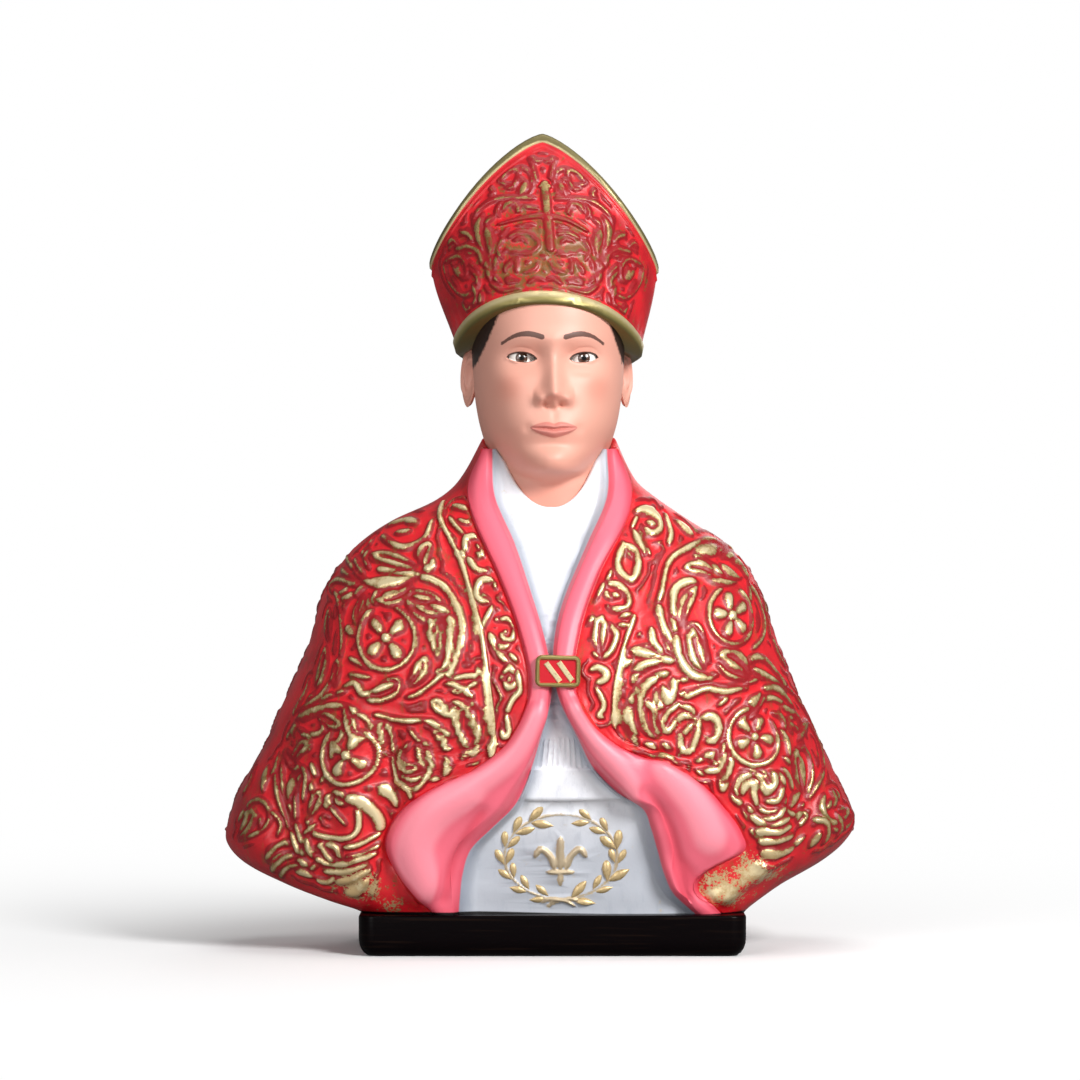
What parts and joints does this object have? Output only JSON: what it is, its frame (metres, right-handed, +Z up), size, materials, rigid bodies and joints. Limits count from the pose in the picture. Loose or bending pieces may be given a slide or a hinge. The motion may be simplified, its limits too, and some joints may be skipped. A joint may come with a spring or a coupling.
{
  "type": "saint bust",
  "caption": "Painted devotional bust of a robed figure in a mitre and an open cope over an alb, cast as one with a low black block.",
  "frame": {"origin": "middle of the underside of the block, below the middle of the outer box", "axes": "+Z up, the figure faces -Y, +X to its left hand, which is the viewer's right"},
  "size_m": [0.2324, 0.1205, 0.3006],
  "materials": {
    "painted_casting": "hand-painted cast resin and plaster, matt to satin, gold brushed over raised ornament"
  },
  "bodies": {
    "root": {"saint_bust": "painted_casting"}
  },
  "joints": []
}
